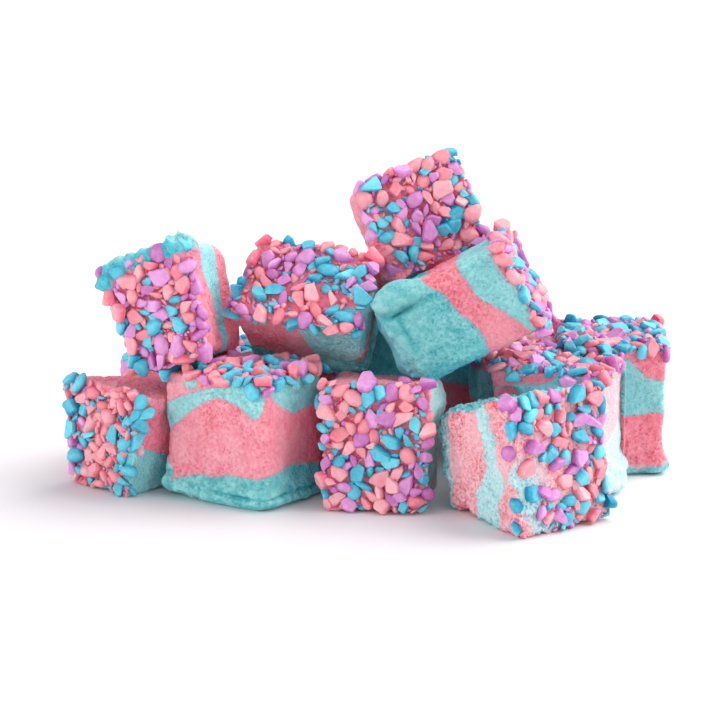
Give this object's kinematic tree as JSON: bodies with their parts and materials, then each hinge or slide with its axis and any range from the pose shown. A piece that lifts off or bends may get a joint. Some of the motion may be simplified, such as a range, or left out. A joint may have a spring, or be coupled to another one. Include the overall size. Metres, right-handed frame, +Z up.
{
  "type": "marshmallow heap",
  "caption": "Heap of hand-cut marshmallow cubes, marbled pink and teal, each coated on one face with broken candy chips.",
  "frame": {"origin": "on the floor under the middle of the heap's box", "axes": "+Z up, -Y towards the heap's front, +X to its right"},
  "size_m": [0.1522, 0.1242, 0.0807],
  "materials": {
    "mallow": "soft whipped marshmallow, pink marbled with pale teal, open crumb on the cut faces, smooth skin below",
    "chip_pink": "satin coral-pink candy coating chips",
    "chip_blue": "satin turquoise-blue candy coating chips",
    "chip_purple": "satin orchid-purple candy coating chips"
  },
  "bodies": {
    "root": {"mallow_left": "mallow", "mallow_front_left": "mallow", "mallow_front_middle": "mallow", "mallow_front_right": "mallow", "mallow_right": "mallow", "mallow_far_right": "mallow", "mallow_upper_left": "mallow", "mallow_upper_middle": "mallow", "mallow_upper_right": "mallow", "mallow_top": "mallow", "mallow_inner_left": "mallow", "mallow_inner_right": "mallow", "mallow_inner_middle": "mallow", "mallow_back_left": "mallow", "mallow_back_middle": "mallow"}
  },
  "joints": []
}
